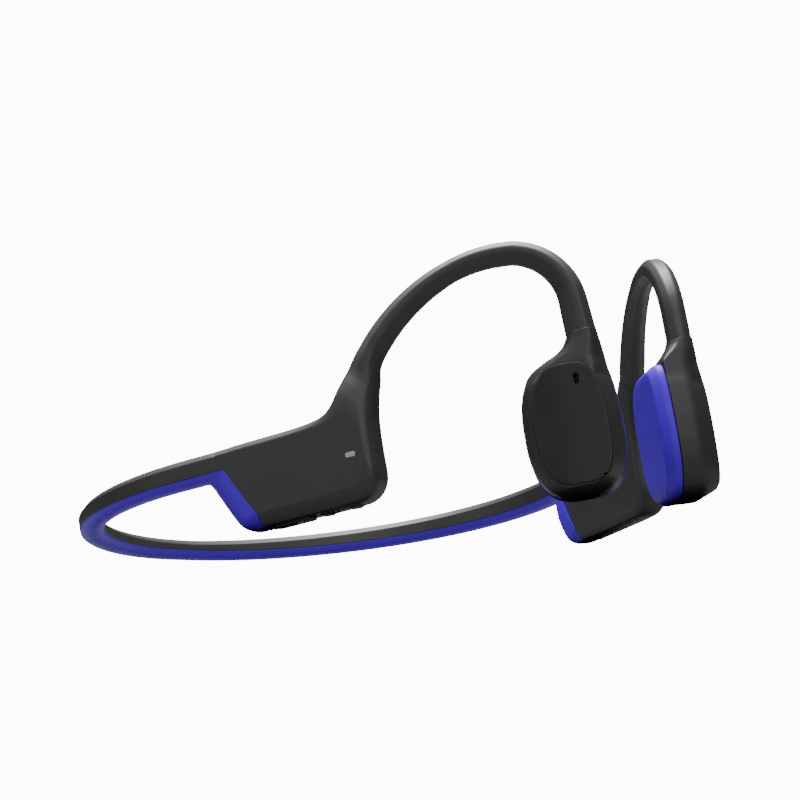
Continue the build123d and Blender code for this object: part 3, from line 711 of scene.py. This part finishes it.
def shell_rings():
    """The shell's sections: flat sides, a brow that softens into the neck, and a nearly flat inner side."""
    rings = []
    for row in eased(shell_stations(), 4):
        height, rear, front, rear_crease, front_crease, inner, rim, *face, bevel = row
        rear_out, middle_out, front_out = face
        corners = [
            (rear, inner + bevel),
            (rear, rim - 0.5 * (front_out - rear_out)),
            (rear_crease, rear_out),
            ((rear_crease + front_crease) / 2, middle_out),
            (front_crease, front_out),
            (front, rim),
            (front, inner + bevel),
            (front - bevel, inner),
            (rear + bevel, inner),
        ]
        front_softness = 0.35 + 1.3 * min(1.0, max(0.0, (height - 8) / 4))
        softness = (0.4, 0.8, 1.4, 0.0, front_softness, 1.0, 0.4, 0.8, 0.8)
        rings.append([(p.x, height, p.y) for p in softened(corners, softness)])
    return rings


def pod_shell(side):
    """The shell with its neck, hollow from the inner side and recessed for the plate on the outer side."""
    shell = to_piece(f"{side}_pod_skin", [shell_rings()], pod_frame, side)
    cavity = pod_outline(CAVITY_SIZE, POD_POWERS)
    cut_away(shell, cavity, PARTING - 1, CAVITY_END, pod_frame, side)
    recess = pod_outline(grown(PLATE_SIZE, RECESS_GAP), PLATE_POWERS)
    cut_away(shell, recess, PLATE_LEVELS[1] - RECESS_DEPTH, PLATE_LEVELS[1] + 1, pod_frame, side)
    return finished(shell, "headset", "charcoal_soft_touch", f"{side}_pod_shell")


def contact_pad(side):
    """The soft pad: a slightly crowned face, a wide rounded edge and a fine seam at the parting."""
    inside = [
        (POINT, PAD_FLOOR),
        (CAVITY_SIZE, PAD_FLOOR),
    ]
    seam = [
        (CAVITY_SIZE, PARTING - 0.05),
        (grown(POD_SIZE, -0.25), PARTING - 0.05),
        (grown(POD_SIZE, -0.03), PARTING - 0.25),
    ]
    cushion = [
        (POD_SIZE, PARTING - 0.6),
        (grown(POD_SIZE, -0.06), PAD_FACE + 2.0),
        (grown(POD_SIZE, -0.25), PAD_FACE + 1.5),
        (grown(POD_SIZE, -1.2), PAD_FACE + 0.36),
        (grown(POD_SIZE, -1.6), PAD_FACE + 0.16),
        (grown(POD_SIZE, -2.6), PAD_FACE + 0.08),
        (grown(POD_SIZE, -6.0), PAD_FACE + 0.02),
        (POINT, PAD_FACE),
    ]
    rings = pod_cup(inside, PAD_POWERS) + pod_cup(seam, POD_POWERS) + pod_cup(cushion, PAD_POWERS)
    pad = to_piece(f"{side}_contact_pad_skin", [rings], pod_frame, side)
    finished(pad, "headset", "blue_silicone", f"{side}_contact_pad")
    return pad


def cover_plate(name, side, body, node):
    """The plate: flat along its front edge, curving down to its rear edge."""
    low, high = PLATE_LEVELS
    levels = [
        (grown(PLATE_SIZE, -0.1), low - 0.55),
        (PLATE_SIZE, low - 0.45),
        (PLATE_SIZE, high - 0.15),
        (grown(PLATE_SIZE, -0.06), high - 0.05),
    ]
    levels += [(grown(PLATE_SIZE, -inset), high) for inset in (0.2, 0.8, 1.8, 3.0, 4.4, 5.6, 6.6)]
    rings = []
    for ring in pod_cup(levels, PLATE_POWERS):
        rings.append([(x, y, z + (face_level(x) - high if z > low else 0.0)) for x, y, z in ring])
    plate = to_piece(name, [rings], pod_frame, side)
    upright_slot = [Vector((p.y, p.x)) for p in oval(MIC_SLOT)]
    for outline, place in ((upright_slot, MIC_PLACE), (oval(NOTCH_SIZE), NOTCH_PLACE)):
        cut_away(plate, moved_outline(outline, *place), low - 0.5, high + 0.5, pod_frame, side)
    return finished(plate, body, "satin_cover", node)


finished(neckband_cover(), "headset", "charcoal_silicone", "neckband_cover")
finished(neckband_trim(), "headset", "blue_silicone", "neckband_trim")
for side in ("right", "left"):
    housing_skin(side)
    pod_shell(side)
    contact_pad(side)
finished(volume_key(), "volume_rocker", "black_rubber", "volume_rocker")
cover_plate("right_plate_skin", "right", "headset", "right_pod_plate")
cover_plate("button_skin", "left", "multifunction_button", "multifunction_button")


# ---------------------------------------------------------------- floor, light and camera
FLOOR_SIZE = 6.0
FLOOR_FADE = (0.25, 0.9)
FLOOR_SEEN = 0.8
FLOOR_GIVEN_BACK = 0.16
SURROUND_SEEN = 12.0
SURROUND_LIGHT = 0.05
# Name, place, size and power of each light; all point at the headset.
LIGHTS = (
    ("overhead", (0.0, 0.0, 0.8), 0.5, 42.0),
    ("left", (0.72, -0.3, 0.35), 0.4, 1.35),
    ("front", (0.72, 0.4, 0.1), 0.25, 0.45),
    ("right", (0.35, 0.75, 0.3), 0.3, 2.2),
)
# The camera looks up at the headset a little, from its front right.
AIM = Vector((-0.0006, -0.0004, 0.0281))
AZIMUTH = 42.55
ELEVATION = -8.2
ROLL = -4.52
DISTANCE = 0.7279
FIELD = 12.30


def one_sided_floor():
    """A pale floor that fades into the white surround. It is seen from above only, because the camera stands
    lower than the table top, and it throws little light back, so that undersides stay in shade."""
    bpy.ops.mesh.primitive_plane_add(size=FLOOR_SIZE)
    floor = bpy.context.object
    floor.name = "floor"
    made = bpy.data.materials.new("floor")
    made.use_nodes = True
    tree = made.node_tree

    def joined(operation, first, second):
        node = added(tree, "Math")
        node.operation = operation
        tree.links.new(first, node.inputs[0])
        tree.links.new(second, node.inputs[1])
        return node.outputs[0]

    pale = tree.nodes["Principled BSDF"]
    pale.inputs["Base Color"].default_value = grey(FLOOR_SEEN)
    pale.inputs["Roughness"].default_value = 0.8
    dim = added(tree, "BsdfDiffuse", Color=grey(FLOOR_GIVEN_BACK))
    seen = added(tree, "LightPath").outputs["Is Camera Ray"]
    underneath = added(tree, "NewGeometry").outputs["Backfacing"]
    away = added(tree, "VectorMath")
    away.operation = "LENGTH"
    tree.links.new(added(tree, "TexCoord").outputs["Object"], away.inputs[0])
    far = added(tree, "MapRange", From_Min=FLOOR_FADE[0], From_Max=FLOOR_FADE[1])
    far.interpolation_type = "SMOOTHSTEP"
    tree.links.new(away.outputs["Value"], far.inputs["Value"])
    hidden = joined("MULTIPLY", seen, joined("MAXIMUM", far.outputs["Result"], underneath))
    surface = blended(tree, hidden, blended(tree, seen, dim, pale), added(tree, "BsdfTransparent"))
    tree.links.new(surface.outputs[0], tree.nodes["Material Output"].inputs["Surface"])
    floor.data.materials.append(made)


def studio_world():
    """White to look at, and a softer grey as light."""
    world = bpy.data.worlds.new("studio")
    bpy.context.scene.world = world
    world.use_nodes = True
    tree = world.node_tree
    dim = tree.nodes["Background"]
    dim.inputs["Color"].default_value = grey(1)
    dim.inputs["Strength"].default_value = SURROUND_LIGHT
    white = added(tree, "Background", Color=grey(1), Strength=SURROUND_SEEN)
    surface = blended(tree, added(tree, "LightPath").outputs["Is Camera Ray"], dim, white)
    tree.links.new(surface.outputs[0], tree.nodes["World Output"].inputs["Surface"])


def area_light(name, place, size, power):
    """A soft square light that faces the headset."""
    data = bpy.data.lights.new(name, "AREA")
    data.size = size
    data.energy = power
    light = bpy.data.objects.new(name, data)
    light.location = place
    light.rotation_euler = (AIM - Vector(place)).to_track_quat("-Z", "Y").to_euler()
    bpy.context.scene.collection.objects.link(light)


def main_camera():
    """The camera on a sphere round its aim, rolled a little."""
    azimuth, elevation = radians(AZIMUTH), radians(ELEVATION)
    back = Vector((cos(azimuth) * cos(elevation), sin(azimuth) * cos(elevation), sin(elevation)))
    data = bpy.data.cameras.new("camera")
    data.angle = radians(FIELD)
    data.clip_start = 0.05
    camera = bpy.data.objects.new("camera", data)
    camera.rotation_mode = "QUATERNION"
    level = back.to_track_quat("Z", "Y")
    camera.rotation_quaternion = level @ Matrix.Rotation(radians(ROLL), 3, "Z").to_quaternion()
    camera.location = AIM + back * DISTANCE
    bpy.context.scene.collection.objects.link(camera)
    bpy.context.scene.camera = camera


one_sided_floor()
studio_world()
for light in LIGHTS:
    area_light(*light)
main_camera()
